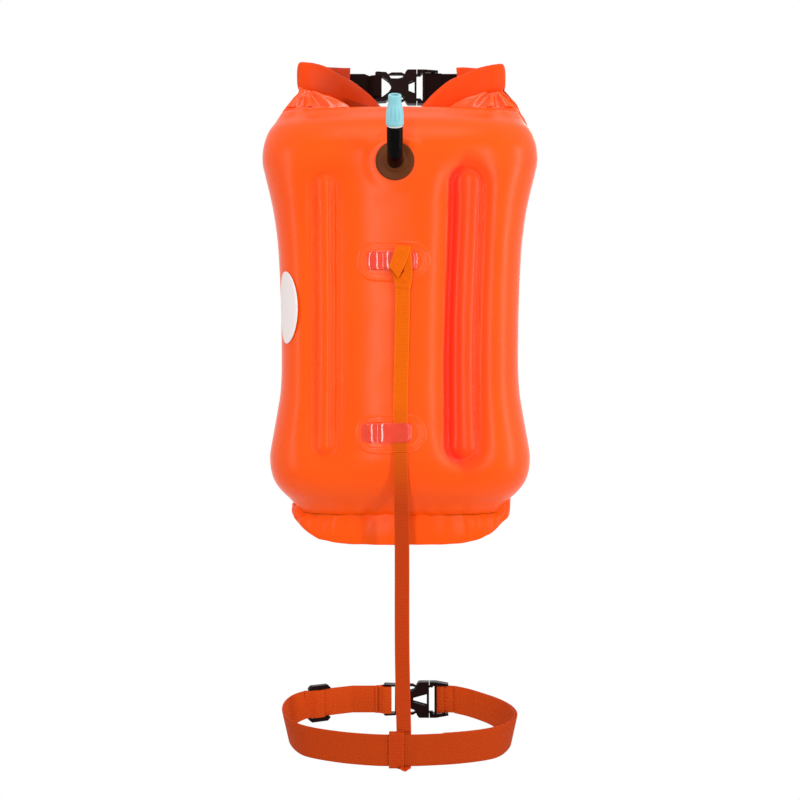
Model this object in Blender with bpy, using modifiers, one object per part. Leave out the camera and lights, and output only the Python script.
"""Open water swim buoy: an inflated dry bag with a roll top handle, an oral valve, and a waist belt on a tether.

Metres, +Z up. The origin is the hang point, at the middle of the handle buckle. The bag's front faces -Y,
and +X is to its right as seen from the front.
"""

import math

import bmesh
import bpy
import numpy as np
from mathutils import Matrix, Vector

# Clearances and overruns shared by all pieces
SEAT_GAP = 0.0003
LOOSE_GAP = 0.0012
OVERRUN = 0.002
RIM_GAP = 0.0005

# Inflated bag
BAG_HALF_WIDTH = 0.141
BAG_HALF_DEPTH = 0.080
BAG_TOP_DROP = 0.031
BAG_HEIGHT = 0.416
FILM = 0.0008
# Each row of the skin: how far down, how deep and how wide, as shares of the three sizes above
BAG_ROW_SHARES = (
    (0.0745, 0.094, 0.794),
    (0.031, 0.113, 0.809),
    (0.010, 0.175, 0.830),
    (0.000, 0.288, 0.858),
    (0.006, 0.425, 0.879),
    (0.031, 0.574, 0.904),
    (0.060, 0.766, 0.965),
    (0.097, 0.906, 1.000),
    (0.133, 0.978, 1.000),
    (0.168, 1.000, 0.979),
    (0.221, 0.994, 0.941),
    (0.272, 0.975, 0.912),
    (0.346, 0.956, 0.886),
    (0.469, 0.938, 0.868),
    (0.618, 0.938, 0.861),
    (0.692, 0.950, 0.868),
    (0.743, 0.969, 0.890),
    (0.791, 0.981, 0.915),
    (0.841, 0.988, 0.941),
    (0.865, 0.981, 0.945),
    (0.891, 0.956, 0.936),
    (0.916, 0.906, 0.912),
    (0.940, 0.825, 0.861),
    (0.962, 0.713, 0.794),
    (0.981, 0.625, 0.752),
    (0.990, 0.575, 0.734),
)
BAG_FRONT_ROW = 3
BAG_COLUMNS = 24
BAG_FRONT_COLUMNS = 48
SECTION_POWER = 2.6
DEPTH_POWER = 2.1

# Two long welds draw the front skin in between the air chamber's lobes
CHANNEL_PLACE_SHARES = (-0.501, 0.426)
CHANNEL_HALF_WIDTH = 0.026
CHANNEL_DEPTH = 0.0054
CHANNEL_TOP_SHARE = 0.205
CHANNEL_BOTTOM_SHARE = 0.820

# Dry bag inside: liner, neck, bottom panel and hem
NECK_HALF_DEPTH = 0.0058
NECK_TOP_HALF_DEPTH = 0.0035
NECK_HALF_WIDTH = 0.1085
NECK_FLARE_WIDTH = 0.1185
NECK_TOP_WIDTH = 0.1035
NECK_FLARE_DROP = 0.0275
NECK_THROAT_DROP = 0.0300
NECK_BOTTOM_DROP = 0.072
NECK_COLUMNS = 30
LINER_HALF_DEPTH = 0.030
LINER_HALF_WIDTH = 0.096
LINER_FILM = 0.0006
HEM_HALF_WIDTH = 0.1105
HEM_HALF_DEPTH = 0.050
HEM_DROP = 0.0100
HEM_MIDDLE_DROP = 0.0140
HEM_FILM = 0.0012
HEM_ROW_SHARES = ((0.0, 0.938, 0.92), (0.25, 0.99, 0.97), (0.6, 1.0, 1.0), (1.0, 0.985, 0.99))
PANEL_THICKNESS = 0.0012
PANEL_SEGMENTS = 48

# Roll top, bent round into a loop at the back
ROLL_HEIGHT = 0.029
ROLL_THICKNESS = 0.009
ROLL_HALF_SPAN = 0.105
ROLL_LOOP_DEPTH = 0.022
ROLL_DIP = 0.0435
ROLL_SECTION_POINTS = 12
ROLL_STEPS = 3
# From the back end round the ear to the middle of the front: shares of half span, loop depth and dip
ROLL_ROUTE_SHARES = (
    (-0.514, 1.0, 0.115),
    (-0.629, 1.0, 0.126),
    (-0.762, 1.0, 0.138),
    (-0.886, 0.84, 0.149),
    (-0.967, 0.59, 0.145),
    (-1.0, 0.295, 0.131),
    (-0.976, 0.045, 0.106),
    (-0.895, -0.068, 0.069),
    (-0.79, -0.068, -0.011),
    (-0.667, -0.06, -0.184),
    (-0.529, -0.05, -0.345),
    (-0.391, -0.03, -0.54),
    (-0.262, 0.0, -0.72),
    (-0.114, 0.0, -0.94),
    (0.0, 0.0, -1.0),
)
STIFFENER_HEIGHT = 0.020
STIFFENER_THICKNESS = 0.0010
STIFFENER_SLACK = 0.0005

# Webbing
WEBBING = 0.0016
HANDLE_WEBBING_WIDTH = 0.029
HANDLE_TAB_OVERLAP = 0.020
HANDLE_MIDDLE_GAP = 0.006
BELT_WEBBING_WIDTH = 0.030
TETHER_WIDTH = 0.014
TETHER_WEBBING = 0.0014
TURN_POINTS = 7

# Side release buckles: female half to the left of the mouth, male half to the right
BUCKLE_THICKNESS = 0.0095
BUCKLE_WALL = 0.0022
PRONG_GAP = 0.0003
PRONG_THICKNESS = 0.0018
PRONG_LEAD = 0.0017
BAR_GAP = 0.0005
BAR_STEP = 0.0004
BAR_BITE = 0.0010
NOTCH = 0.0007
HANDLE_MOUTH_X = 0.0174
HANDLE_FEMALE_LENGTH = 0.0434
HANDLE_MALE_LENGTH = 0.0226
HANDLE_BUCKLE_HALF_HEIGHT = 0.0179
BELT_MOUTH_X = 0.0322
BELT_FEMALE_LENGTH = 0.0500
BELT_MALE_LENGTH = 0.0215
BELT_BUCKLE_HALF_HEIGHT = 0.0197
# Upper half of the female outline, shares of its length left of the mouth and of half its height
FEMALE_OUTLINE_SHARES = (
    (0.0, 1.0),
    (-0.194, 1.0),
    (-0.228, 0.983),
    (-0.272, 0.838),
    (-0.290, 0.670),
    (-0.343, 0.536),
    (-0.435, 0.475),
    (-0.620, 0.475),
    (-0.677, 0.704),
    (-0.740, 0.850),
    (-0.960, 0.883),
    (-1.0, 0.840),
)
HANDLE_WINDOW_SHARES = ((-0.895, 0.66), (-0.827, 0.60), (-0.677, 0.33), (-0.620, 0.12))
BELT_WINDOW_SHARES = ((-0.835, 0.755), (-0.757, 0.755))
HANDLE_LIGHT_SHARES = ((-0.190, 0.25), (-0.048, 0.39))
BELT_LIGHT_SHARES = ((-0.35, 0.12), (-0.048, 0.33))
CAVITY_START_SHARE = -0.70
CAVITY_STEP_SHARE = -0.272
RING_INNER_SHARE = 0.780
POCKET_SHARE = 0.890
MALE_BAR_SHARES = ((0.26, 0.39), (0.68, 0.84))
WEBBING_END_SHARE = 0.72  # how far into a male half its webbing ends, on the back bar
MALE_SHOULDER_SHARE = 0.35
MALE_ARM_END = 0.0018
PRONG_ROOT_SHARE = 0.17
PRONG_PAD_SHARE = 0.870
PRONG_BARB_SHARE = -0.320
PRONG_RAMP_SHARE = 0.085
PRONG_TIP_SHARE = -0.685
PRONG_ROOT_POINTS = 8

# Belt loop round the waist: shares of half its width and half its depth
BELT_HALF_WIDTH = 0.120
BELT_HALF_DEPTH = 0.094
BELT_DROP = 0.662
BELT_BUCKLE_PLANE_SHARE = 0.979
BELT_ROUTE_SHARES = (
    (-0.44, 0.979),
    (-0.52, 0.936),
    (-0.556, 0.9148),
    (-0.70, 0.830),
    (-0.844, 0.7452),
    (-0.88, 0.724),
    (-0.97, 0.55),
    (-1.012, 0.27),
    (-1.0, -0.08),
    (-0.93, -0.42),
    (-0.76, -0.70),
    (-0.48, -0.895),
    (-0.2, -0.990),
    (0.0, -1.0),
    (0.2, -0.990),
    (0.5, -0.915),
    (0.76, -0.76),
    (0.925, -0.50),
    (0.985, -0.2),
    (0.955, 0.15),
    (0.83, 0.50),
    (0.66, 0.79),
    (0.53, 0.93),
    (0.44, 0.979),
)
BELT_STEPS = 4
BELT_TAIL_SHARES = (0.60, 0.93)

# Three bar slider on the belt
SLIDER_LENGTH = 0.0246
SLIDER_HEIGHT = 0.0395
SLIDER_THICKNESS = 0.0062
SLIDER_BAR = 0.0036
SLIDER_CORNER = 0.003
SLIDER_MARGIN = 0.0005
SLIDER_PLACE_SHARE = (-0.74, 0.8063)
SLIDER_LINE_SHARE = (0.18, 0.106)

# Tether keepers on the bag's front: centre, half length, half height
PATCH_THICKNESS = 0.0010
STRIP_THICKNESS = 0.0009
STRIP_LAND = 0.006
UPPER_PATCH_X = -0.0048
UPPER_PATCH_HEIGHT_SHARE = 0.3966
UPPER_PATCH_HALF_LENGTH = 0.038
UPPER_STRIP_X = -0.0067
UPPER_STRIP_HALF_LENGTH = 0.0248
LOWER_PATCH_X = -0.0086
LOWER_PATCH_HEIGHT_SHARE = 0.7962
LOWER_PATCH_HALF_LENGTH = 0.0362
LOWER_STRIP_X = -0.0108
LOWER_STRIP_RISE = 0.0014
LOWER_STRIP_HALF_LENGTH = 0.0262
PATCH_HALF_HEIGHT = 0.0200
STRIP_HALF_HEIGHT = 0.0092
PATCH_COLUMNS = 12
PATCH_ROWS = 8

# Plain white patch at the left edge of the bag, between two shares of its half width
MARK_PATCH_HEIGHT_SHARE = 0.4952
MARK_ACROSS_SHARES = (-0.985, -0.825)
MARK_HALF_HEIGHT = 0.036
MARK_THICKNESS = 0.0005
MARK_LIFT = 0.0006

# Tether
TETHER_TOP_X = 0.0020
TETHER_MIDDLE_X = 0.0002
TETHER_END_X = 0.0036
TETHER_HOOK_MARGIN = 0.0040
TETHER_SPLIT_MARGIN = 0.0070
TETHER_JOINT_GAP = 0.0009
TETHER_UPPER_END_GAP = 0.00072  # over half the webbing, so that the lower stretch can turn under it
TETHER_LOWER_END_GAP = 0.00022
TETHER_END_DROP = 0.6405
TETHER_STEPS = 10
LOOP_FRONT_X = -0.0034
LOOP_SLACK = 0.0010
LOOP_CORNER = 0.0016

# Oral valve
VALVE_X = -0.0048
VALVE_HEIGHT_SHARE = 0.1755
VALVE_LEAN = math.radians(30)
TUBE_RADIUS = 0.0075
TUBE_BORE = 0.0053
TUBE_RUN = 0.0117
TUBE_BEND = 0.0160
TUBE_STRAIGHT = 0.0226
TUBE_BEND_POINTS = 9
FLANGE_RADIUS = 0.0187
FLANGE_RIM = 0.0010
FLANGE_BOSS_RADIUS = 0.0102
FLANGE_BOSS_HEIGHT = 0.0038
SKIN_HOLE = 0.0046
INSERT_LENGTH = 0.0140
INSERT_BORE = 0.0033
INSERT_RING_RADIUS = 0.0073
INSERT_RING = 0.0024
INSERT_NECK_RADIUS = 0.0062
INSERT_NECK = 0.0012
CAP_SKIRT_RADIUS = 0.0083
CAP_TOP_RADIUS = 0.0060
CAP_BORE = 0.0036
CAP_SKIRT = 0.0100
CAP_TAPER = 0.0102
CAP_TOP = 0.0080
CAP_ROOM = 0.0082
STEM_RADIUS = 0.0013
STEM_HEAD_RADIUS = 0.0041
STEM_HEAD = 0.0014
STEM_CROSS = 0.0030
SEAL_RADIUS = 0.0044
SEAL_THICKNESS = 0.0010
SPRING_RADIUS = 0.0045
SPRING_WIRE = 0.0004
SPRING_TURNS = 5
SPRING_TURN_POINTS = 9
TURNED_STEPS = 28

# Worked out from the sizes above
NECK_TOP_RISE = ROLL_HEIGHT / 2 + 2 * SEAT_GAP
HANDLE_PLANE_Y = ROLL_LOOP_DEPTH + ROLL_THICKNESS / 2 + SEAT_GAP + WEBBING / 2
BELT_PLANE_Y = BELT_HALF_DEPTH * BELT_BUCKLE_PLANE_SHARE
BAG_BOTTOM_DROP = BAG_TOP_DROP + BAG_HEIGHT * BAG_ROW_SHARES[-1][0]
HEM_TOP_DROP = BAG_BOTTOM_DROP + RIM_GAP
PANEL_DROP = BAG_BOTTOM_DROP + SEAT_GAP + PANEL_THICKNESS / 2
UPPER_PATCH_DROP = BAG_TOP_DROP + UPPER_PATCH_HEIGHT_SHARE * BAG_HEIGHT
LOWER_PATCH_DROP = BAG_TOP_DROP + LOWER_PATCH_HEIGHT_SHARE * BAG_HEIGHT
MARK_PATCH_DROP = BAG_TOP_DROP + MARK_PATCH_HEIGHT_SHARE * BAG_HEIGHT
VALVE_DROP = BAG_TOP_DROP + VALVE_HEIGHT_SHARE * BAG_HEIGHT
LOWER_STRIP_DROP = LOWER_PATCH_DROP - LOWER_STRIP_RISE
PATCH_LIFT = SEAT_GAP + PATCH_THICKNESS
TETHER_BACK_LIFT = PATCH_LIFT + SEAT_GAP + TETHER_WEBBING / 2
STRIP_LIFT = TETHER_BACK_LIFT + TETHER_WEBBING / 2 + SEAT_GAP
TETHER_FRONT_LIFT = STRIP_LIFT + STRIP_THICKNESS + SEAT_GAP + TETHER_WEBBING / 2

COLOURS = {
    "film": (0.99, 0.13, 0.02, 0.35, 0.0),
    "roll": (0.80, 0.09, 0.01, 0.45, 0.0),
    "orange_webbing": (0.65, 0.08, 0.01, 0.8, 0.0),
    "black_webbing": (0.015, 0.008, 0.006, 0.8, 0.0),
    "black_plastic": (0.012, 0.008, 0.008, 0.4, 0.0),
    "clear_film": (0.95, 0.15, 0.08, 0.2, 0.0),
    "rubber": (0.02, 0.018, 0.016, 0.3, 0.0),
    "flange_rubber": (0.12, 0.05, 0.02, 0.5, 0.0),
    "blue_plastic": (0.22, 0.55, 0.60, 0.35, 0.0),
    "pale_plastic": (0.80, 0.82, 0.78, 0.35, 0.0),
    "white_film": (0.90, 0.90, 0.88, 0.4, 0.0),
    "spring_steel": (0.70, 0.70, 0.70, 0.3, 1.0),
}

PARTS = "swim_buoy"
CUTTERS = "cutters"


def clear_scene():
    for obj in list(bpy.data.objects):
        bpy.data.objects.remove(obj, do_unlink=True)


def collection(name):
    found = bpy.data.collections.get(name)
    if found is None:
        found = bpy.data.collections.new(name)
        bpy.context.scene.collection.children.link(found)
    return found


def material(name, finish):
    """One Principled material for each piece, from the colour, roughness and metallic value of its finish."""
    red, green, blue, roughness, metallic = COLOURS[finish]
    made = bpy.data.materials.new(name + "_" + finish)
    made.use_nodes = True
    shader = made.node_tree.nodes["Principled BSDF"]
    shader.inputs["Base Color"].default_value = (red, green, blue, 1)
    shader.inputs["Roughness"].default_value = roughness
    shader.inputs["Metallic"].default_value = metallic
    return made


def add_object(name, data, finish, parent=None):
    obj = bpy.data.objects.new(name, data)
    collection(PARTS).objects.link(obj)
    data.materials.append(material(name, finish))
    obj.parent = parent
    return obj


def add_cutter(name, data, parent=None):
    obj = bpy.data.objects.new(name, data)
    collection(CUTTERS).objects.link(obj)
    obj.hide_render = True
    obj.display_type = "WIRE"
    obj.parent = parent
    return obj


def add_pivot(name, place, turn=(0, 0, 0), parent=None):
    """An empty that stands on a joint's axis or carries a piece's frame."""
    obj = bpy.data.objects.new(name, None)
    collection(PARTS).objects.link(obj)
    obj.parent = parent
    obj.location = place
    obj.rotation_euler = turn
    return obj


def mesh_from(bm, name):
    """Writes a bmesh to a new mesh with its faces pointing out."""
    bmesh.ops.recalc_face_normals(bm, faces=bm.faces)
    data = bpy.data.meshes.new(name)
    bm.to_mesh(data)
    bm.free()
    return data


def smooth(obj, degrees=35):
    obj.data.shade_smooth()
    obj.data.set_sharp_from_angle(angle=math.radians(degrees))


def thicken(obj, thickness, offset):
    shell = obj.modifiers.new("thickness", "SOLIDIFY")
    shell.thickness = thickness
    shell.offset = offset
    shell.use_even_offset = True


def cut(obj, cutter):
    hole = obj.modifiers.new("cut_" + cutter.name, "BOOLEAN")
    hole.operation = "DIFFERENCE"
    hole.object = cutter
    hole.solver = "EXACT"


def smooth_route(points, steps):
    """Points on a smooth curve through the given ones, with so many steps from one to the next."""
    held = [Vector(p) for p in points]
    held = [2 * held[0] - held[1]] + held + [2 * held[-1] - held[-2]]
    found = []
    for n in range(1, len(held) - 2):
        a, b, c, d = held[n - 1 : n + 3]
        for step in range(steps):
            t = step / steps
            found.append(
                0.5 * ((2 * b) + (c - a) * t + (2 * a - 5 * b + 4 * c - d) * t**2 + (3 * b - a - 3 * c + d) * t**3)
            )
    return found + [held[-2]]


def half_turn(centre, start, side, count):
    """Points of a half circle from one side of a centre to the other, through the side given."""
    arm = Vector(start) - Vector(centre)
    out = Vector(side).normalized() * arm.length
    turns = [math.pi * n / (count - 1) for n in range(count)]
    return [Vector(centre) + arm * math.cos(a) + out * math.sin(a) for a in turns]


def strap(name, route, across, width, thickness, finish, parent=None):
    """A flat strip along a route, made as one row of faces extruded across it and given its thickness."""
    bm = bmesh.new()
    shift = Vector(across).normalized() * width
    verts = [bm.verts.new(p - shift / 2) for p in route]
    edges = [bm.edges.new(pair) for pair in zip(verts, verts[1:])]
    raised = bmesh.ops.extrude_edge_only(bm, edges=edges)["geom"]
    moved = [item for item in raised if isinstance(item, bmesh.types.BMVert)]
    bmesh.ops.translate(bm, verts=moved, vec=shift)
    obj = add_object(name, mesh_from(bm, name), finish, parent)
    thicken(obj, thickness, 0)
    smooth(obj)
    return obj


def plate(name, outline, holes, thickness):
    """A flat mesh in the XZ plane with holes, centred on Y=0, from a filled flat curve."""
    curve = bpy.data.curves.new(name, "CURVE")
    curve.dimensions = "2D"
    curve.fill_mode = "BOTH"
    curve.extrude = thickness / 2
    for loop in (outline, *holes):
        spline = curve.splines.new("POLY")
        spline.points.add(len(loop) - 1)
        spline.use_cyclic_u = True
        for point, (x, z) in zip(spline.points, loop):
            point.co = (x, z, 0, 1)
    shape = bpy.data.objects.new(name, curve)
    bpy.context.scene.collection.objects.link(shape)
    graph = bpy.context.evaluated_depsgraph_get()
    data = bpy.data.meshes.new_from_object(shape.evaluated_get(graph))
    bpy.data.objects.remove(shape)
    bm = bmesh.new()
    bm.from_mesh(data)
    bmesh.ops.remove_doubles(bm, verts=bm.verts, dist=SEAT_GAP / 30)
    bmesh.ops.rotate(bm, verts=bm.verts, matrix=Matrix.Rotation(math.pi / 2, 3, "X"))
    bpy.data.meshes.remove(data)
    return mesh_from(bm, name)


def box_mesh(name, low, high):
    bm = bmesh.new()
    bmesh.ops.create_cube(bm, size=1)
    size = Vector(high) - Vector(low)
    bmesh.ops.scale(bm, verts=bm.verts, vec=size)
    bmesh.ops.translate(bm, verts=bm.verts, vec=(Vector(low) + Vector(high)) / 2)
    return mesh_from(bm, name)


def turned(name, profile, finish, parent):
    """A closed profile of radius and height, down its outer side first, turned about the local Z axis."""
    bm = bmesh.new()
    verts = [bm.verts.new((radius, 0, height)) for radius, height in profile]
    for pair in zip(verts, verts[1:] + verts[:1]):
        bm.edges.new(pair)
    data = bpy.data.meshes.new(name)
    bm.to_mesh(data)
    bm.free()
    obj = add_object(name, data, finish, parent)
    screw = obj.modifiers.new("turn", "SCREW")
    screw.steps = TURNED_STEPS
    screw.render_steps = TURNED_STEPS
    screw.use_merge_vertices = True
    screw.merge_threshold = SEAT_GAP / 30
    screw.use_smooth_shade = True
    return obj


def mirrored(upper):
    """A closed outline from its upper half, listed from right to left."""
    return list(upper) + [(x, -z) for x, z in reversed(upper)]


def rows_of_bag():
    """The skin's rows as drop, half depth and half width in metres."""
    return [
        (BAG_TOP_DROP + drop * BAG_HEIGHT, depth * BAG_HALF_DEPTH, width * BAG_HALF_WIDTH)
        for drop, depth, width in BAG_ROW_SHARES
    ]


def section_depth(across):
    """How deep the bag's section is at a share of its half width."""
    return max(0.0, 1 - abs(across) ** SECTION_POWER) ** (1 / DEPTH_POWER)


def drawn_in(x, drop):
    """How far the two long welds draw the front skin in: most along their middles, nothing at their edges."""
    top = BAG_TOP_DROP + CHANNEL_TOP_SHARE * BAG_HEIGHT
    bottom = BAG_TOP_DROP + CHANNEL_BOTTOM_SHARE * BAG_HEIGHT
    beyond = drop - min(max(drop, top), bottom)
    deepest = 0.0
    for share in CHANNEL_PLACE_SHARES:
        away = min(1.0, math.hypot(x - share * BAG_HALF_WIDTH, beyond) / CHANNEL_HALF_WIDTH)
        deepest = max(deepest, CHANNEL_DEPTH * (1 + math.cos(math.pi * away)) / 2)
    return deepest


def front_y(x, drop):
    """Where the outside of the front skin lies below its shoulders."""
    drops, depths, widths = np.array(rows_of_bag()[BAG_FRONT_ROW:]).T
    depth = np.interp(drop, drops, depths)
    width = np.interp(drop, drops, widths)
    return -depth * section_depth(x / width)


def skin_mesh(name, side):
    """One half of the bag as an open sheet of rows and columns. side is -1 for the front and 1 for the back."""
    rows = rows_of_bag()
    columns = BAG_FRONT_COLUMNS if side < 0 else BAG_COLUMNS
    bm = bmesh.new()
    bmesh.ops.create_grid(bm, x_segments=columns, y_segments=len(rows) - 1, size=1)
    for vert in bm.verts:
        row = round((1 - vert.co.y) / 2 * (len(rows) - 1))
        drop, depth, width = rows[row]
        across = math.sin(vert.co.x * math.pi / 2)
        y = max(depth * section_depth(across), SEAT_GAP)
        if side < 0:
            y -= drawn_in(width * across, drop)
        vert.co = (width * across, side * y, -drop)
    return mesh_from(bm, name)


def make_skins():
    front = add_object("front_skin", skin_mesh("front_skin", -1), "film")
    back = add_object("back_skin", skin_mesh("back_skin", 1), "film")
    for obj, side in ((front, -1), (back, 1)):
        bm = bmesh.new()
        bm.from_mesh(obj.data)
        middle = [f for f in bm.faces if abs(f.calc_center_median().x) < BAG_HALF_WIDTH / 2]
        lowest = min(middle, key=lambda f: abs(f.calc_center_median().z + BAG_HEIGHT / 2))
        if lowest.normal.y * side < 0:
            bmesh.ops.reverse_faces(bm, faces=bm.faces)
        bm.to_mesh(obj.data)
        bm.free()
        thicken(obj, FILM, -1)
        smooth(obj)
    hole = bmesh.new()
    bmesh.ops.create_cone(
        hole, cap_ends=True, segments=TURNED_STEPS, radius1=SKIN_HOLE, radius2=SKIN_HOLE, depth=BAG_HALF_DEPTH
    )
    bmesh.ops.rotate(hole, verts=hole.verts, matrix=Matrix.Rotation(math.pi / 2, 3, "X"))
    cutter = add_cutter("valve_hole", mesh_from(hole, "valve_hole"))
    cutter.location = (VALVE_X, -BAG_HALF_DEPTH, -VALVE_DROP)
    cut(front, cutter)


def roll_route():
    """Centres of the roll's sections, from its left end round the front to its right end."""
    left = [
        Vector((x * ROLL_HALF_SPAN, y * ROLL_LOOP_DEPTH, z * ROLL_DIP))
        for x, y, z in ROLL_ROUTE_SHARES
    ]
    right = [Vector((-p.x, p.y, p.z)) for p in reversed(left[:-1])]
    return smooth_route(left + right, ROLL_STEPS)


def flat_sides(route):
    """The level direction square to a route, at each of its points."""
    found = []
    for n in range(len(route)):
        ahead = route[min(n + 1, len(route) - 1)] - route[max(n - 1, 0)]
        found.append(Vector((-ahead.y, ahead.x, 0)).normalized())
    return found


def oval(half_thickness, half_height, count, power):
    """Points of a rounded flat section: its offset to the side and its height."""
    found = []
    for n in range(count):
        a = 2 * math.pi * n / count
        c, s = math.cos(a), math.sin(a)
        found.append(
            (
                half_thickness * math.copysign(abs(c) ** power, c),
                half_height * math.copysign(abs(s) ** power, s),
            )
        )
    return found


def make_roll():
    """The rolled rim: a flat tube with a slot through it for the stiffener, open at both ends."""
    route = roll_route()
    sides = flat_sides(route)
    outer = oval(ROLL_THICKNESS / 2, ROLL_HEIGHT / 2, ROLL_SECTION_POINTS, 0.75)
    slot_half = STIFFENER_THICKNESS / 2 + STIFFENER_SLACK
    inner = oval(slot_half, STIFFENER_HEIGHT / 2 + STIFFENER_SLACK, ROLL_SECTION_POINTS, 0.35)
    bm = bmesh.new()
    rings = []
    for centre, side in zip(route, sides):
        rings.append(
            [
                [bm.verts.new(centre + side * off + Vector((0, 0, up))) for off, up in section]
                for section in (outer, inner)
            ]
        )
    count = ROLL_SECTION_POINTS
    for (here_out, here_in), (next_out, next_in) in zip(rings, rings[1:]):
        for n in range(count):
            m = (n + 1) % count
            bm.faces.new((here_out[n], here_out[m], next_out[m], next_out[n]))
            bm.faces.new((here_in[m], here_in[n], next_in[n], next_in[m]))
    for end_out, end_in in (rings[0], rings[-1]):
        for n in range(count):
            m = (n + 1) % count
            bm.faces.new((end_out[n], end_in[n], end_in[m], end_out[m]))
    smooth(add_object("roll_top", mesh_from(bm, "roll_top"), "roll"), 50)
    strap(
        "roll_stiffener",
        route[ROLL_STEPS:-ROLL_STEPS],
        (0, 0, 1),
        STIFFENER_HEIGHT,
        STIFFENER_THICKNESS,
        "black_plastic",
    )


def roll_height(x, route):
    """The height of the roll's middle over the neck, at a place along X."""
    front = route[6 * ROLL_STEPS : len(route) // 2 + 1]
    return float(np.interp(-abs(x), [p.x for p in front], [p.z for p in front]))


def make_neck():
    """The dry bag's neck, pressed flat: a closed form from inside the bag up to the roll's underside."""
    bm = bmesh.new()
    rows = []
    route = roll_route()
    last = NECK_COLUMNS
    plan = (
        (NECK_BOTTOM_DROP, NECK_HALF_WIDTH, NECK_HALF_DEPTH),
        (NECK_THROAT_DROP, NECK_HALF_WIDTH, NECK_HALF_DEPTH),
        (NECK_FLARE_DROP, NECK_FLARE_WIDTH, NECK_HALF_DEPTH),
        (0.0, NECK_TOP_WIDTH, NECK_TOP_HALF_DEPTH),
    )
    for level, (drop, width, depth) in enumerate(plan):
        front, back = [], []
        for n in range(last + 1):
            across = math.sin((n / last - 0.5) * math.pi)
            x = width * across
            top = roll_height(x, route) - NECK_TOP_RISE
            z = top if level == 3 else min(-drop, top - (3 - level) * FILM)
            y = depth * math.sqrt(max(0.0, 1 - across**2))
            front.append(bm.verts.new((x, -y, z)))
            back.append(front[-1] if n in (0, last) else bm.verts.new((x, y, z)))
        rows.append((front, back))
    for (front, back), (next_front, next_back) in zip(rows, rows[1:]):
        for n in range(last):
            bm.faces.new((front[n], front[n + 1], next_front[n + 1], next_front[n]))
            bm.faces.new((back[n + 1], back[n], next_back[n], next_back[n + 1]))
    for front, back in (rows[0], rows[-1]):
        for n in range(last):
            corners = [front[n], front[n + 1], back[n + 1], back[n]]
            bm.faces.new(list(dict.fromkeys(corners)))
    smooth(add_object("neck", mesh_from(bm, "neck"), "film"), 50)


def oval_tube(name, rows, thickness, finish, columns):
    """An open tube of oval rows. Each row gives drop at the sides, half width, half depth and extra drop in front."""
    bm = bmesh.new()
    rings = []
    for drop, width, depth, extra in rows:
        ring = []
        for n in range(columns):
            a = 2 * math.pi * n / columns
            x, y = width * math.cos(a), depth * math.sin(a)
            ring.append(bm.verts.new((x, y, -drop - extra * math.sin(a) ** 2)))
        rings.append(ring)
    for here, there in zip(rings, rings[1:]):
        for n in range(columns):
            m = (n + 1) % columns
            bm.faces.new((here[n], there[n], there[m], here[m]))
    obj = add_object(name, mesh_from(bm, name), finish)
    thicken(obj, thickness, -1)
    smooth(obj, 50)
    return obj


def make_liner():
    bottom = PANEL_DROP - PANEL_THICKNESS / 2 - SEAT_GAP
    top = NECK_BOTTOM_DROP + SEAT_GAP
    depth = bottom - top
    rows = (
        (top, NECK_HALF_WIDTH, NECK_HALF_DEPTH, 0),
        (top + depth / 8, NECK_HALF_WIDTH, LINER_HALF_DEPTH * 2 / 3, 0),
        (top + depth / 3, LINER_HALF_WIDTH, LINER_HALF_DEPTH, 0),
        (top + depth * 2 / 3, LINER_HALF_WIDTH, LINER_HALF_DEPTH, 0),
        (bottom, LINER_HALF_WIDTH, LINER_HALF_DEPTH, 0),
    )
    oval_tube("dry_bag_liner", rows, LINER_FILM, "film", 36)


def make_hem():
    rows = []
    for down, width, depth in HEM_ROW_SHARES:
        rows.append(
            (HEM_TOP_DROP + down * HEM_DROP, width * HEM_HALF_WIDTH, depth * HEM_HALF_DEPTH, down * HEM_MIDDLE_DROP)
        )
    oval_tube("hem", rows, HEM_FILM, "film", 48)
    _, width, depth, _ = rows[0]
    margin = HEM_FILM + SEAT_GAP
    bm = bmesh.new()
    bmesh.ops.create_circle(bm, cap_ends=True, segments=PANEL_SEGMENTS, radius=1)
    bmesh.ops.scale(bm, verts=bm.verts, vec=(width - margin, depth - margin, 1))
    obj = add_object("bottom_panel", mesh_from(bm, "bottom_panel"), "film")
    obj.location = (0, 0, -PANEL_DROP)
    thicken(obj, PANEL_THICKNESS, 0)


def stadium_mesh(name, centre_x, drop, half_length, half_height, lift):
    """A sheet with round ends that follows the front skin at a lift from it. lift takes the share along it."""
    bm = bmesh.new()
    bmesh.ops.create_grid(bm, x_segments=PATCH_COLUMNS, y_segments=PATCH_ROWS, size=1)
    for vert in bm.verts:
        along, up = vert.co.x, math.sin(vert.co.y * math.pi / 2)
        reach = half_length - half_height * (1 - math.sqrt(max(0.0, 1 - up * up)))
        x = centre_x + along * reach
        z_drop = drop - up * half_height
        vert.co = (x, front_y(x, z_drop) - lift(along), -z_drop)
    return mesh_from(bm, name)


def face_front(obj):
    """Turns an open sheet so that its faces point at -Y, and its thickness then grows outwards."""
    bm = bmesh.new()
    bm.from_mesh(obj.data)
    bm.faces.ensure_lookup_table()
    if bm.faces[len(bm.faces) // 2].normal.y > 0:
        bmesh.ops.reverse_faces(bm, faces=bm.faces)
    bm.to_mesh(obj.data)
    bm.free()


def add_sheet(name, data, thickness, finish):
    obj = add_object(name, data, finish)
    face_front(obj)
    thicken(obj, thickness, 1)
    smooth(obj)
    return obj


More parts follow.
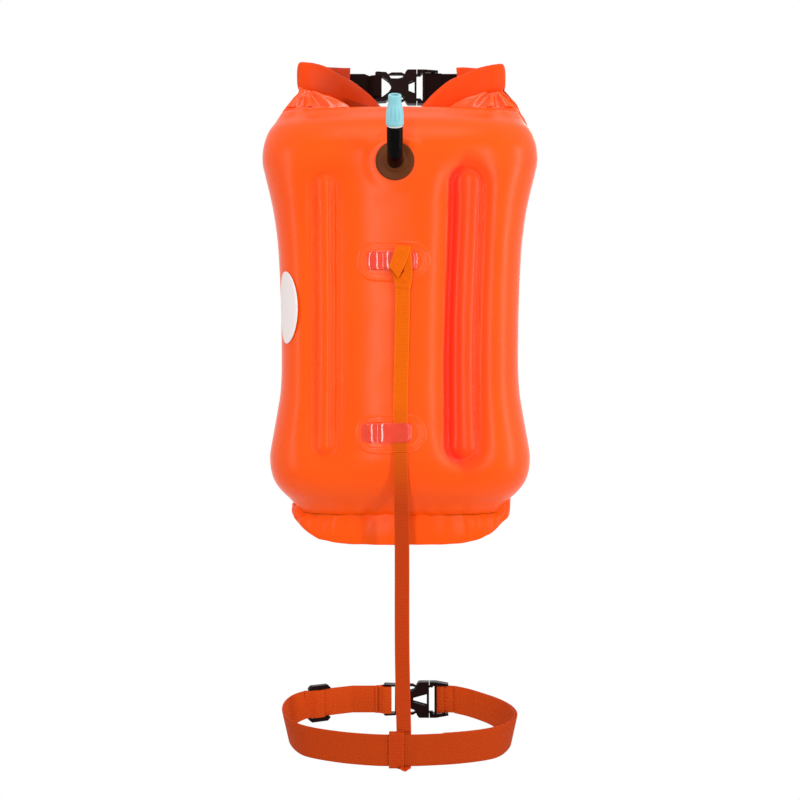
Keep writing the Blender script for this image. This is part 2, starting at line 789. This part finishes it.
def strip_mesh(name, centre_x, drop, half_length):
    """A keeper strip: its ends lie on the patch, and its middle stands off to let the tether through."""
    bm = bmesh.new()
    bmesh.ops.create_grid(bm, x_segments=PATCH_COLUMNS, y_segments=2, size=1)
    low = PATCH_LIFT + SEAT_GAP
    flat_share = 1 - STRIP_LAND / half_length
    for vert in bm.verts:
        along = vert.co.x
        rise = min(1.0, max(0.0, (1 - abs(along)) / (1 - flat_share)))
        lift = low + (STRIP_LIFT - low) * rise
        x = centre_x + along * half_length
        z_drop = drop - vert.co.y * STRIP_HALF_HEIGHT
        vert.co = (x, front_y(x, z_drop) - lift, -z_drop)
    return mesh_from(bm, name)


def mark_mesh():
    """An oval sheet on the skin near its left seam, lifted square to the skin's section."""
    bm = bmesh.new()
    bmesh.ops.create_grid(bm, x_segments=PATCH_COLUMNS, y_segments=PATCH_COLUMNS, size=1)
    drops, depths, widths = np.array(rows_of_bag()[BAG_FRONT_ROW:]).T
    first, last = (math.asin(share) for share in MARK_ACROSS_SHARES)
    for vert in bm.verts:
        up = math.sin(vert.co.y * math.pi / 2)
        along = vert.co.x * math.sqrt(max(0.0, 1 - up * up)) if abs(up) < 1 else 0
        turn = (first + last) / 2 + (last - first) / 2 * along
        drop = MARK_PATCH_DROP - up * MARK_HALF_HEIGHT
        depth, width = np.interp(drop, drops, depths), np.interp(drop, drops, widths)
        across, ahead = math.sin(turn), math.sin(turn + (last - first) / PATCH_COLUMNS)
        here = Vector((width * across, -depth * section_depth(across), -drop))
        there = Vector((width * ahead, -depth * section_depth(ahead), -drop))
        out = (there - here).cross(Vector((0, 0, 1))).normalized()
        vert.co = here + out * MARK_LIFT
    bmesh.ops.remove_doubles(bm, verts=bm.verts, dist=SEAT_GAP / 30)
    return mesh_from(bm, "white_patch")


def make_keepers():
    upper = stadium_mesh(
        "upper_keeper_patch",
        UPPER_PATCH_X,
        UPPER_PATCH_DROP,
        UPPER_PATCH_HALF_LENGTH,
        PATCH_HALF_HEIGHT,
        lambda along: SEAT_GAP,
    )
    add_sheet("upper_keeper_patch", upper, PATCH_THICKNESS, "film")
    lower = stadium_mesh(
        "lower_keeper_patch",
        LOWER_PATCH_X,
        LOWER_PATCH_DROP,
        LOWER_PATCH_HALF_LENGTH,
        PATCH_HALF_HEIGHT,
        lambda along: SEAT_GAP,
    )
    add_sheet("lower_keeper_patch", lower, PATCH_THICKNESS, "film")
    strips = (
        ("upper_keeper_strip", UPPER_STRIP_X, UPPER_PATCH_DROP, UPPER_STRIP_HALF_LENGTH),
        ("lower_keeper_strip", LOWER_STRIP_X, LOWER_STRIP_DROP, LOWER_STRIP_HALF_LENGTH),
    )
    for name, x, drop, half_length in strips:
        add_sheet(name, strip_mesh(name, x, drop, half_length), STRIP_THICKNESS, "clear_film")
    add_sheet("white_patch", mark_mesh(), MARK_THICKNESS, "white_film")


def lifted(x, drop, lift):
    """A point at a lift in front of the bag's skin."""
    return Vector((x, front_y(x, drop) - lift, -drop))


def make_tether():
    """Tether webbing: hooked over the upper strip, down behind the lower one, then free to the belt."""
    top = UPPER_PATCH_DROP - STRIP_HALF_HEIGHT - TETHER_HOOK_MARGIN / 2
    bottom = UPPER_PATCH_DROP + STRIP_HALF_HEIGHT + TETHER_HOOK_MARGIN
    split = LOWER_STRIP_DROP + STRIP_HALF_HEIGHT + TETHER_SPLIT_MARGIN
    x = TETHER_TOP_X
    back_low = lifted(x, bottom, TETHER_BACK_LIFT)
    back_high = lifted(x, top, TETHER_BACK_LIFT)
    front_high = lifted(x, top, TETHER_FRONT_LIFT)
    turn = half_turn((back_high + front_high) / 2, back_high, (0, 0, 1), TURN_POINTS)
    run = [lifted(x, UPPER_PATCH_DROP, TETHER_FRONT_LIFT)]
    under = LOWER_STRIP_DROP - STRIP_HALF_HEIGHT - TETHER_HOOK_MARGIN
    for step in range(TETHER_STEPS + 1):
        share = step / TETHER_STEPS
        along = x + (TETHER_MIDDLE_X - x) * share
        lift = TETHER_FRONT_LIFT + (TETHER_BACK_LIFT - TETHER_FRONT_LIFT) * share
        run.append(lifted(along, bottom + (under - bottom) * share, lift))
    run += [
        lifted(TETHER_MIDDLE_X, LOWER_STRIP_DROP - STRIP_HALF_HEIGHT, TETHER_BACK_LIFT),
        lifted(TETHER_MIDDLE_X, LOWER_STRIP_DROP, TETHER_BACK_LIFT),
        lifted(TETHER_MIDDLE_X, LOWER_STRIP_DROP + STRIP_HALF_HEIGHT, TETHER_BACK_LIFT),
        lifted(TETHER_MIDDLE_X, split - TETHER_UPPER_END_GAP, TETHER_BACK_LIFT),
    ]
    upper_route = [back_low] + turn + smooth_route(run, 2)
    strap("tether_upper", upper_route, (1, 0, 0), TETHER_WIDTH, TETHER_WEBBING, "orange_webbing")
    pivot = lifted(TETHER_MIDDLE_X, split, TETHER_BACK_LIFT)
    end_y = -BELT_HALF_DEPTH + WEBBING / 2 + LOOP_SLACK + TETHER_WEBBING / 2
    end = Vector((TETHER_END_X, end_y, -TETHER_END_DROP))
    lower = [
        pivot + (end - pivot).normalized() * TETHER_LOWER_END_GAP,
        pivot.lerp(end, 0.25),
        pivot.lerp(end, 0.5),
        pivot.lerp(end, 0.75),
        end + (pivot - end).normalized() * (TETHER_JOINT_GAP / 2),
    ]
    swing = add_pivot("tether_swing_axis", pivot)
    local = [point - pivot for point in lower]
    strap("tether_lower", local, (1, 0, 0), TETHER_WIDTH, TETHER_WEBBING, "orange_webbing", swing)
    return end


def make_tether_loop(end):
    """The sewn loop at the tether's end: down behind the belt, under it, up in front and back over it."""
    half = BELT_WEBBING_WIDTH / 2 + LOOP_SLACK + TETHER_WEBBING / 2
    back_y = end.y
    front_y_place = -BELT_HALF_DEPTH - WEBBING / 2 - LOOP_SLACK - TETHER_WEBBING / 2
    low, high = -BELT_DROP - half, -BELT_DROP + half
    x0, x1 = TETHER_END_X, LOOP_FRONT_X
    corner = LOOP_CORNER
    places = [
        (x0, back_y, end.z - TETHER_JOINT_GAP / 2),
        (x0, back_y, high),
        (x0, back_y, -BELT_DROP),
        (x0, back_y, low + corner),
        (x0, back_y - corner, low),
        (x1, front_y_place + corner, low),
        (x1, front_y_place, low + corner),
        (x1, front_y_place, -BELT_DROP),
        (x1, front_y_place, high - corner),
        (x1, front_y_place + corner, high),
        (x1, back_y - TETHER_WEBBING - SEAT_GAP, high + corner / 2),
    ]
    pivot = add_pivot("loop_swing_axis", end)
    route = [Vector(place) - end for place in places]
    strap("tether_loop", route, (1, 0, 0), TETHER_WIDTH, TETHER_WEBBING, "orange_webbing", pivot)


def female_half(name, length, half_height, window, light, frame):
    """The socket: an outlined body with two windows, hollowed from the mouth for the prongs."""
    outline = mirrored([(x * length, z * half_height) for x, z in FEMALE_OUTLINE_SHARES])
    holes = [mirrored([(x * length, z * half_height) for x, z in shares]) for shares in (window, light)]
    obj = add_object(name, plate(name, outline, holes, BUCKLE_THICKNESS), "black_plastic", frame)
    start, step = CAVITY_START_SHARE * length, CAVITY_STEP_SHARE * length
    ring, pocket = RING_INNER_SHARE * half_height, POCKET_SHARE * half_height
    hollow = mirrored([(OVERRUN, ring), (step, ring), (step, pocket), (start, pocket)])
    cutter = add_cutter(
        name + "_hollow", plate(name + "_hollow", hollow, [], BUCKLE_THICKNESS - 2 * BUCKLE_WALL), frame
    )
    cut(obj, cutter)
    return obj


def add_bar(obj, label, low, high, frame):
    """Joins a cross bar to a piece, with its ends inside the arms."""
    bar = add_cutter(obj.name + label, box_mesh(obj.name + label, low, high), frame)
    join = obj.modifiers.new("join" + label, "BOOLEAN")
    join.operation = "UNION"
    join.object = bar
    join.solver = "EXACT"


def male_half(name, length, half_height, strap_width, frame):
    """The ladder: two side arms with a front bar and a back bar, so that straight webbing runs between them."""
    inner = strap_width / 2 + BAR_GAP
    root = RING_INNER_SHARE * half_height
    (front_start, front_end), (back_start, back_end) = MALE_BAR_SHARES
    upper = [
        (NOTCH, half_height),
        (length * MALE_SHOULDER_SHARE, half_height),
        (length, inner + MALE_ARM_END),
        (length, inner),
        (length * front_start, inner),
        (length * front_start, root),
        (NOTCH, root),
    ]
    lower = [(x, -z) for x, z in upper]
    obj = add_object(name, plate(name, upper, [lower], BUCKLE_THICKNESS), "black_plastic", frame)
    room = WEBBING / 2 + BAR_GAP
    deep = BUCKLE_THICKNESS / 2 - BAR_STEP
    side = inner + BAR_BITE
    add_bar(obj, "_front_bar", (front_start * length + BAR_STEP, -deep, -side), (front_end * length, -room, side), frame)
    add_bar(obj, "_back_bar", (back_start * length, room, -side), (back_end * length, deep, side), frame)
    return obj


def prong(name, side, female_length, male_length, half_height, frame):
    """A spring prong with its root on its own hinge axis. side is 1 for the upper one and -1 for the lower."""
    outer = RING_INNER_SHARE * half_height - PRONG_GAP
    inner = outer - PRONG_THICKNESS
    pad = PRONG_PAD_SHARE * half_height
    root_x = PRONG_ROOT_SHARE * male_length
    barb = PRONG_BARB_SHARE * female_length
    ramp = PRONG_RAMP_SHARE * female_length
    tip = PRONG_TIP_SHARE * female_length
    middle = (outer + inner) / 2
    radius = PRONG_THICKNESS / 2
    round_end = []
    for n in range(PRONG_ROOT_POINTS + 1):
        a = -math.pi / 2 + math.pi * n / PRONG_ROOT_POINTS
        round_end.append((root_x + radius * math.cos(a), middle + radius * math.sin(a)))
    outline = round_end + [
        (barb + ramp / 2, outer),
        (barb - ramp / 2, pad),
        (tip + ramp, pad),
        (tip, pad - PRONG_LEAD),
        (tip, pad - PRONG_LEAD - PRONG_THICKNESS / 2),
        (tip + ramp, pad - PRONG_LEAD - PRONG_THICKNESS / 2),
        (barb - ramp / 2, pad - PRONG_LEAD - PRONG_THICKNESS / 2),
        (barb + ramp / 2, inner),
    ]
    axis = Vector((root_x, 0, side * middle))
    pivot = add_pivot(name + "_axis", axis, parent=frame)
    shape = [(x - axis.x, side * z - axis.z) for x, z in outline]
    data = plate(name, shape, [], BUCKLE_THICKNESS - 2 * BUCKLE_WALL - 2 * PRONG_GAP)
    return add_object(name, data, "black_plastic", pivot)


def make_handle():
    """Two webbing tabs behind the roll's ends, and the buckle that joins them."""
    frame = add_pivot("handle_buckle_frame", (HANDLE_MOUTH_X, HANDLE_PLANE_Y, 0))
    length, height = HANDLE_FEMALE_LENGTH, HANDLE_BUCKLE_HALF_HEIGHT
    female_half("handle_buckle_female", length, height, HANDLE_WINDOW_SHARES, HANDLE_LIGHT_SHARES, frame)
    male_half("handle_buckle_male", HANDLE_MALE_LENGTH, height, HANDLE_WEBBING_WIDTH, frame)
    prong("handle_prong_upper", 1, length, HANDLE_MALE_LENGTH, height, frame)
    prong("handle_prong_lower", -1, length, HANDLE_MALE_LENGTH, height, frame)
    roll_end = ROLL_HALF_SPAN * -ROLL_ROUTE_SHARES[0][0]
    outer = roll_end + HANDLE_TAB_OVERLAP
    bar_x = HANDLE_MOUTH_X - length - SEAT_GAP - WEBBING / 2
    y = HANDLE_PLANE_Y
    left = [Vector((-outer, y, 0)), Vector((-roll_end, y, 0)), Vector((bar_x, y, 0))]
    strap("left_handle_webbing", left, (0, 0, 1), HANDLE_WEBBING_WIDTH, WEBBING, "black_webbing")
    inner_end = HANDLE_MOUTH_X + WEBBING_END_SHARE * HANDLE_MALE_LENGTH
    right = [Vector((inner_end, y, 0)), Vector((roll_end, y, 0)), Vector((outer, y, 0))]
    strap("right_handle_webbing", right, (0, 0, 1), HANDLE_WEBBING_WIDTH, WEBBING, "black_webbing")


def belt_points():
    """The belt webbing's middle line, from the female half's end round the front to the male half."""
    shares = [
        Vector((x * BELT_HALF_WIDTH, y * BELT_HALF_DEPTH, -BELT_DROP)) for x, y in BELT_ROUTE_SHARES
    ]
    curve = smooth_route(shares, BELT_STEPS)
    start_x = BELT_MOUTH_X - BELT_FEMALE_LENGTH - SEAT_GAP - WEBBING / 2
    end_x = BELT_MOUTH_X + WEBBING_END_SHARE * BELT_MALE_LENGTH
    start = Vector((start_x, BELT_PLANE_Y, -BELT_DROP))
    end = Vector((end_x, BELT_PLANE_Y, -BELT_DROP))
    return [start] + curve + [end]


def make_belt():
    frame = add_pivot("belt_buckle_frame", (BELT_MOUTH_X, BELT_PLANE_Y, -BELT_DROP))
    length, height = BELT_FEMALE_LENGTH, BELT_BUCKLE_HALF_HEIGHT
    female_half("belt_buckle_female", length, height, BELT_WINDOW_SHARES, BELT_LIGHT_SHARES, frame)
    male_half("belt_buckle_male", BELT_MALE_LENGTH, height, BELT_WEBBING_WIDTH, frame)
    prong("belt_prong_upper", 1, length, BELT_MALE_LENGTH, height, frame)
    prong("belt_prong_lower", -1, length, BELT_MALE_LENGTH, height, frame)
    route = belt_points()
    strap("belt_webbing", route, (0, 0, 1), BELT_WEBBING_WIDTH, WEBBING, "orange_webbing")
    first, last = (round(share * len(route)) for share in BELT_TAIL_SHARES)
    inward = flat_sides(route)
    step = WEBBING + SEAT_GAP
    tail = [point + side * step for point, side in zip(route, inward)][first:last]
    strap("belt_tail", tail, (0, 0, 1), BELT_WEBBING_WIDTH, WEBBING, "orange_webbing")


def make_slider():
    """Three bars across the webbing, the middle one in front of it and the outer two behind it."""
    line = Vector((SLIDER_LINE_SHARE[0] * BELT_HALF_WIDTH, SLIDER_LINE_SHARE[1] * BELT_HALF_DEPTH, 0))
    turn = math.atan2(line.y, line.x)
    place = (
        SLIDER_PLACE_SHARE[0] * BELT_HALF_WIDTH,
        SLIDER_PLACE_SHARE[1] * BELT_HALF_DEPTH,
        -BELT_DROP,
    )
    frame = add_pivot("slider_frame", place, (0, 0, turn))
    half, tall = SLIDER_LENGTH / 2, SLIDER_HEIGHT / 2
    inner = BELT_WEBBING_WIDTH / 2 + SLIDER_MARGIN
    corner = SLIDER_CORNER
    upper = [(half, inner), (half, tall - corner), (half - corner, tall), (corner - half, tall)]
    upper += [(-half, tall - corner), (-half, inner)]
    lower = [(x, -z) for x, z in upper]
    obj = add_object("belt_slider", plate("belt_slider", upper, [lower], SLIDER_THICKNESS), "black_plastic", frame)
    room = WEBBING / 2 + BAR_GAP
    deep = SLIDER_THICKNESS / 2 - BAR_STEP
    side = inner + BAR_BITE
    edge = half - BAR_STEP
    bar = SLIDER_BAR
    add_bar(obj, "_middle_bar", (-bar / 2, -deep, -side), (bar / 2, -room, side), frame)
    add_bar(obj, "_left_bar", (-edge, room, -side), (bar - edge, deep, side), frame)
    add_bar(obj, "_right_bar", (edge - bar, room, -side), (edge, deep, side), frame)


def valve_top():
    """The top end of the rubber tube, and the direction that it leans in."""
    skin = front_y(VALVE_X, VALVE_DROP) - SEAT_GAP
    along = Vector((0, -math.sin(VALVE_LEAN), math.cos(VALVE_LEAN)))
    bend = math.pi / 2 - VALVE_LEAN
    y = skin - TUBE_RUN - TUBE_BEND * math.sin(bend)
    z = -VALVE_DROP + TUBE_BEND * (1 - math.cos(bend))
    return Vector((VALVE_X, y, z)) + along * TUBE_STRAIGHT, along


def tube_points():
    """The rubber tube's middle line from the skin out, round its bend and up."""
    skin = front_y(VALVE_X, VALVE_DROP) - SEAT_GAP
    start = Vector((VALVE_X, skin, -VALVE_DROP))
    turn_from = start + Vector((0, -TUBE_RUN, 0))
    bend = math.pi / 2 - VALVE_LEAN
    points = [start, turn_from]
    for n in range(1, TUBE_BEND_POINTS):
        a = bend * n / (TUBE_BEND_POINTS - 1)
        points.append(turn_from + TUBE_BEND * Vector((0, -math.sin(a), 1 - math.cos(a))))
    top, _ = valve_top()
    return points + [top]


def pipe_mesh(name, points, radius, sides):
    curve = bpy.data.curves.new(name, "CURVE")
    curve.dimensions = "3D"
    curve.bevel_depth = radius
    curve.bevel_resolution = sides
    curve.use_fill_caps = True
    spline = curve.splines.new("POLY")
    spline.points.add(len(points) - 1)
    for point, place in zip(spline.points, points):
        point.co = (*place, 1)
    shape = bpy.data.objects.new(name, curve)
    bpy.context.scene.collection.objects.link(shape)
    graph = bpy.context.evaluated_depsgraph_get()
    data = bpy.data.meshes.new_from_object(shape.evaluated_get(graph))
    bpy.data.objects.remove(shape)
    bm = bmesh.new()
    bm.from_mesh(data)
    bmesh.ops.remove_doubles(bm, verts=bm.verts, dist=SEAT_GAP / 30)
    bpy.data.meshes.remove(data)
    return mesh_from(bm, name)


def extended(points, length):
    """The same points with both ends drawn out straight by a length."""
    first = points[0] + (points[0] - points[1]).normalized() * length
    last = points[-1] + (points[-1] - points[-2]).normalized() * length
    return [first] + points[1:-1] + [last]


def make_valve():
    points = tube_points()
    tube = add_object("valve_tube", pipe_mesh("valve_tube", points, TUBE_RADIUS, 6), "rubber")
    bore = pipe_mesh("valve_tube_bore", extended(points, OVERRUN), TUBE_BORE, 5)
    cut(tube, add_cutter("valve_tube_bore", bore))
    smooth(tube)
    skin = points[0]
    outward = add_pivot("valve_flange_frame", skin, (math.pi / 2, 0, 0))
    hole = TUBE_RADIUS + SEAT_GAP
    turned(
        "valve_flange",
        [
            (hole, FLANGE_BOSS_HEIGHT),
            (FLANGE_BOSS_RADIUS - FLANGE_RIM, FLANGE_BOSS_HEIGHT),
            (FLANGE_BOSS_RADIUS, FLANGE_BOSS_HEIGHT - FLANGE_RIM),
            (FLANGE_BOSS_RADIUS + FLANGE_RIM, FLANGE_RIM * 2),
            (FLANGE_RADIUS - FLANGE_RIM, FLANGE_RIM),
            (FLANGE_RADIUS, FLANGE_RIM / 2),
            (FLANGE_RADIUS, 0),
            (hole, 0),
        ],
        "flange_rubber",
        outward,
    )
    top, _ = valve_top()
    frame = add_pivot("valve_axis", top, (VALVE_LEAN, 0, 0))
    sleeve = TUBE_BORE - SEAT_GAP
    ring_top = SEAT_GAP + INSERT_RING
    neck_top = ring_top + INSERT_NECK
    turned(
        "valve_insert",
        [
            (INSERT_BORE, neck_top),
            (INSERT_NECK_RADIUS, neck_top),
            (INSERT_NECK_RADIUS, ring_top),
            (INSERT_RING_RADIUS, ring_top),
            (INSERT_RING_RADIUS, SEAT_GAP),
            (sleeve, SEAT_GAP),
            (sleeve, -INSERT_LENGTH),
            (INSERT_BORE, -INSERT_LENGTH),
        ],
        "pale_plastic",
        frame,
    )
    skirt_low = ring_top + SEAT_GAP
    skirt_high = skirt_low + CAP_SKIRT
    taper_high = skirt_high + CAP_TAPER
    cap_high = taper_high + CAP_TOP
    room_high = neck_top + CAP_ROOM
    room = INSERT_RING_RADIUS + SEAT_GAP
    rim = FILM
    turned(
        "mouthpiece",
        [
            (CAP_BORE, cap_high),
            (CAP_TOP_RADIUS - rim, cap_high),
            (CAP_TOP_RADIUS, cap_high - rim),
            (CAP_TOP_RADIUS, taper_high),
            (CAP_SKIRT_RADIUS, skirt_high),
            (CAP_SKIRT_RADIUS, skirt_low),
            (room, skirt_low),
            (room, room_high),
            (CAP_BORE, room_high),
        ],
        "blue_plastic",
        frame,
    )
    head_top = -INSERT_LENGTH - SEAT_GAP - SEAL_THICKNESS - SEAT_GAP
    stem_high = room_high + STEM_CROSS
    stem = turned(
        "valve_stem",
        [
            (0, stem_high),
            (STEM_RADIUS, stem_high),
            (STEM_RADIUS, head_top),
            (STEM_HEAD_RADIUS, head_top),
            (STEM_HEAD_RADIUS, head_top - STEM_HEAD),
            (0, head_top - STEM_HEAD),
        ],
        "pale_plastic",
        frame,
    )
    reach = CAP_BORE - SEAT_GAP
    for label, wide, deep in (("_x", reach, STEM_RADIUS / 2), ("_y", STEM_RADIUS / 2, reach)):
        wing = box_mesh("stem_wing" + label, (-wide, -deep, room_high + SEAT_GAP), (wide, deep, stem_high - SEAT_GAP))
        join = stem.modifiers.new("wing" + label, "BOOLEAN")
        join.operation = "UNION"
        join.object = add_cutter("stem_wing" + label, wing, frame)
        join.solver = "EXACT"
    seal_high = -INSERT_LENGTH - SEAT_GAP
    seal_bore = STEM_RADIUS + SEAT_GAP
    turned(
        "valve_seal",
        [
            (seal_bore, seal_high),
            (SEAL_RADIUS, seal_high),
            (SEAL_RADIUS, seal_high - SEAL_THICKNESS),
            (seal_bore, seal_high - SEAL_THICKNESS),
        ],
        "rubber",
        frame,
    )
    low = neck_top + SEAT_GAP + SPRING_WIRE
    high = room_high - SEAT_GAP - SPRING_WIRE
    count = SPRING_TURNS * SPRING_TURN_POINTS
    coil = []
    for n in range(count + 1):
        a = 2 * math.pi * n / SPRING_TURN_POINTS
        rise = low + (high - low) * n / count
        coil.append(Vector((SPRING_RADIUS * math.cos(a), SPRING_RADIUS * math.sin(a), rise)))
    spring = add_object("valve_spring", pipe_mesh("valve_spring", coil, SPRING_WIRE, 1), "spring_steel", frame)
    smooth(spring, 60)


def main():
    clear_scene()
    make_skins()
    make_neck()
    make_roll()
    make_liner()
    make_hem()
    make_keepers()
    end = make_tether()
    make_tether_loop(end)
    make_handle()
    make_belt()
    make_slider()
    make_valve()


main()
